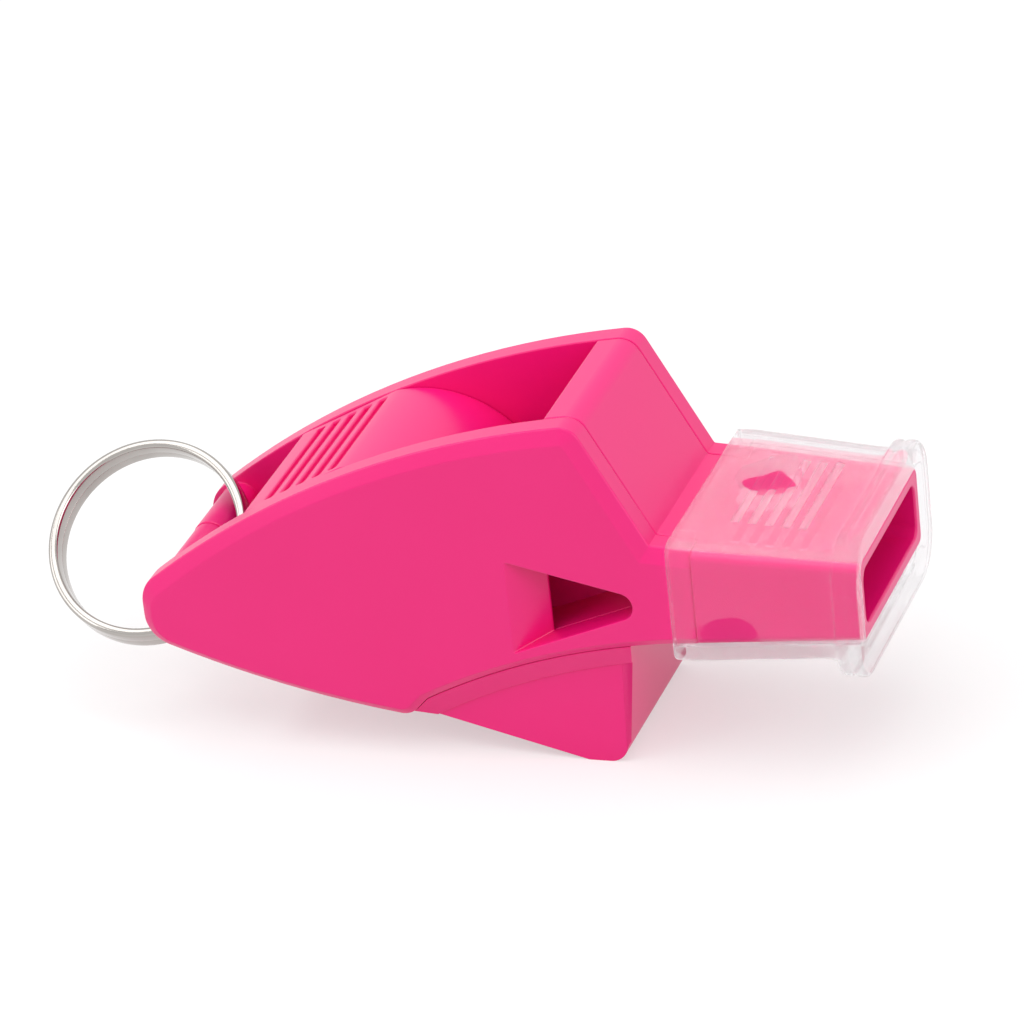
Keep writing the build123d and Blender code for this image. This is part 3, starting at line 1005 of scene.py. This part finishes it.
class WHISTLE_OT_split_ring(Operator):
    """Wind the steel split ring from flat wire"""

    bl_idname = "whistle.split_ring"
    bl_label = "Split ring"

    def execute(self, context):
        settings = context.scene.whistle_ring
        axis = Vector((0, -cos(settings.tilt), sin(settings.tilt)))
        piece = self.make_end(settings, axis)
        self.wind(piece, settings, axis)
        bpy.ops.mesh.select_all(action="SELECT")
        bpy.ops.mesh.remove_doubles(threshold=MERGE_DISTANCE)
        bpy.ops.mesh.normals_make_consistent(inside=False)
        end_edit()
        deselect_all()
        piece.select_set(True)
        bpy.context.view_layer.objects.active = piece
        bpy.ops.object.shade_smooth_by_angle(angle=RING_SHARP)
        piece.data.materials.append(ring_steel(settings))
        dress(piece, "split_ring", "split_ring")
        return {"FINISHED"}

    def make_end(self, settings, axis):
        """Section of the wire at the start of the first turn, with round corners."""
        across = Vector((1, 0, 0))
        up = axis.cross(across)
        outward = across * cos(settings.start) + up * sin(settings.start)
        pitch = settings.wire_thickness + settings.turn_gap
        reach = (settings.diameter - settings.wire_width) / 2
        place = ring_centre + outward * reach - axis * pitch / 2
        turn = Matrix((outward, axis, outward.cross(axis))).transposed()
        deselect_all()
        bpy.ops.mesh.primitive_plane_add(size=1, location=place, rotation=turn.to_euler())
        piece = bpy.context.active_object
        piece.name = "steel_split_ring"
        piece.scale = (settings.wire_width, settings.wire_thickness, 1)
        settle(piece)
        start_edit(piece)
        bpy.ops.mesh.select_all(action="SELECT")
        bpy.ops.mesh.bevel(offset=settings.face_round, segments=WIRE_CORNER_STEPS, affect="VERTICES")
        pick(piece, "FACE", lambda face: True)
        return piece

    def change_corners(self, piece, settings, axis, level, old, new):
        """Change the radii of the selected section's corners, given for its lower and its upper side."""
        half_width = settings.wire_width / 2
        half_thickness = settings.wire_thickness / 2
        reach = settings.diameter / 2 - half_width
        mesh = bmesh.from_edit_mesh(piece.data)
        for vert in mesh.verts:
            if not vert.select:
                continue
            offset = vert.co - ring_centre
            radial = offset - axis * offset.dot(axis)
            across = radial.length - reach
            along = offset.dot(axis) - level
            old_radius, new_radius = old[along > 0], new[along > 0]
            scale = new_radius / old_radius
            across_reach = half_width - (half_width - abs(across)) * scale
            along_reach = half_thickness - (half_thickness - abs(along)) * scale
            place = radial.normalized() * (reach + copysign(across_reach, across))
            vert.co = ring_centre + place + axis * (level + copysign(along_reach, along))
        bmesh.update_edit_mesh(piece.data)

    def wind(self, piece, settings, axis):
        """Spin the section round the two turns, with a jog between them."""
        flat_turn = radians(360) - settings.jog - settings.end_gap
        pitch = settings.wire_thickness + settings.turn_gap
        wide, tight = settings.face_round, settings.joint_round
        corners = (wide, tight)
        self.change_corners(piece, settings, axis, -pitch / 2, (wide, wide), corners)
        self.spin(axis, flat_turn, TURN_STEPS)
        last_rise = 0
        for step in range(1, JOG_STEPS + 1):
            share = step / JOG_STEPS
            rise = pitch * share**2 * (3 - 2 * share)
            self.spin(axis, settings.jog / JOG_STEPS, 1)
            bpy.ops.transform.translate(value=axis * (rise - last_rise))
            turned = (wide + (tight - wide) * share, tight + (wide - tight) * share)
            self.change_corners(piece, settings, axis, rise - pitch / 2, corners, turned)
            corners = turned
            last_rise = rise
        self.spin(axis, flat_turn, TURN_STEPS)

    def spin(self, axis, angle, steps):
        """Spin what is selected about the axis of the ring."""
        bpy.ops.mesh.spin(steps=steps, angle=angle, center=ring_centre, axis=axis)


class WHISTLE_OT_stage(Operator):
    """Set the floor, the light, the background and the camera"""

    bl_idname = "whistle.stage"
    bl_label = "Stage"

    def execute(self, context):
        settings = context.scene.whistle_stage
        self.make_floor(settings)
        self.make_world(context.scene)
        self.make_lights()
        self.make_camera(context.scene, settings)
        context.scene.view_settings.view_transform = "Standard"
        return {"FINISHED"}

    def make_floor(self, settings):
        """White floor that takes the shadow."""
        deselect_all()
        bpy.ops.mesh.primitive_plane_add(size=settings.floor_size, location=(0, 0, 0))
        floor = bpy.context.active_object
        floor.name = "floor"
        material = bpy.data.materials.new("floor_paper")
        material.use_nodes = True
        tree = material.node_tree
        shader = tree.nodes["Principled BSDF"]
        shader.inputs["Base Color"].default_value = settings.floor_bounce
        shader.inputs["Roughness"].default_value = FLOOR_ROUGHNESS
        shader.inputs["Specular IOR Level"].default_value = 0
        paper = tree.nodes.new("ShaderNodeBsdfDiffuse")
        paper.inputs["Color"].default_value = settings.floor_colour
        glow = tree.nodes.new("ShaderNodeEmission")
        glow.inputs["Strength"].default_value = 1
        lit_paper = tree.nodes.new("ShaderNodeMixShader")
        lit_paper.inputs["Fac"].default_value = FLOOR_GLOW
        tree.links.new(paper.outputs["BSDF"], lit_paper.inputs[1])
        tree.links.new(glow.outputs["Emission"], lit_paper.inputs[2])
        mix = tree.nodes.new("ShaderNodeMixShader")
        tree.links.new(seen_ray(tree), mix.inputs["Fac"])
        tree.links.new(shader.outputs["BSDF"], mix.inputs[1])
        tree.links.new(lit_paper.outputs["Shader"], mix.inputs[2])
        tree.links.new(mix.outputs["Shader"], tree.nodes["Material Output"].inputs["Surface"])
        floor.data.materials.append(material)

    def make_world(self, scene):
        """Soft grey light, and a white background for the camera, gloss and glass."""
        world = bpy.data.worlds.new("studio")
        scene.world = world
        world.use_nodes = True
        tree = world.node_tree
        light = tree.nodes["Background"]
        light.inputs["Color"].default_value = WHITE
        light.inputs["Strength"].default_value = WORLD_LIGHT
        white = tree.nodes.new("ShaderNodeBackground")
        white.inputs["Color"].default_value = WHITE
        white.inputs["Strength"].default_value = 1
        mix = tree.nodes.new("ShaderNodeMixShader")
        tree.links.new(seen_ray(tree), mix.inputs["Fac"])
        tree.links.new(light.outputs["Background"], mix.inputs[1])
        tree.links.new(white.outputs["Background"], mix.inputs[2])
        tree.links.new(mix.outputs["Shader"], tree.nodes["World Output"].inputs["Surface"])

    def make_lights(self):
        """Large soft lamps above, to the right and to the left."""
        target = Vector((0, 0, axis_z))
        for name, place, size, power in LAMPS:
            deselect_all()
            bpy.ops.object.light_add(type="AREA", location=place)
            lamp = bpy.context.active_object
            lamp.name = name
            lamp.data.size = size
            lamp.data.energy = power
            lamp.rotation_euler = (target - Vector(place)).to_track_quat("-Z", "Y").to_euler()

    def make_camera(self, scene, settings):
        """Camera at the photograph's place."""
        deselect_all()
        place = Vector((mouth_x, 0, axis_z)) + Vector(settings.camera_place)
        turn = Matrix((CAMERA_RIGHT, CAMERA_UP, CAMERA_BACK)).transposed()
        bpy.ops.object.camera_add(location=place, rotation=turn.to_euler())
        camera = bpy.context.active_object
        camera.name = "camera"
        camera.data.lens = settings.lens
        camera.data.sensor_width = SENSOR_WIDTH
        scene.camera = camera


class WHISTLE_PT_pieces(Panel):
    """List of the whistle's pieces and the stage"""

    bl_label = "Whistle"
    bl_idname = "WHISTLE_PT_pieces"
    bl_space_type = "VIEW_3D"
    bl_region_type = "UI"
    bl_category = "Whistle"

    def draw(self, context):
        for operator in OPERATORS:
            self.layout.operator(operator.bl_idname)
        for name, group in SETTINGS.items():
            box = self.layout.box()
            settings = getattr(context.scene, name)
            for field in group.__annotations__:
                box.prop(settings, field)


OPERATORS = (
    WHISTLE_OT_mouldings,
    WHISTLE_OT_mouth_cover,
    WHISTLE_OT_split_ring,
    WHISTLE_OT_stage,
)
CLASSES = (*SETTINGS.values(), *OPERATORS, WHISTLE_PT_pieces)


def register():
    """Register the classes and hang the settings on the scene."""
    for item in CLASSES:
        bpy.utils.register_class(item)
    for name, group in SETTINGS.items():
        setattr(bpy.types.Scene, name, PointerProperty(type=group))


def unregister():
    """Take the settings and the classes away again."""
    for name in SETTINGS:
        delattr(bpy.types.Scene, name)
    for item in reversed(CLASSES):
        bpy.utils.unregister_class(item)


def main():
    """Make every piece and the stage."""
    register()
    bpy.ops.whistle.mouldings()
    bpy.ops.whistle.mouth_cover()
    bpy.ops.whistle.split_ring()
    bpy.ops.whistle.stage()


if __name__ == "__main__":
    main()
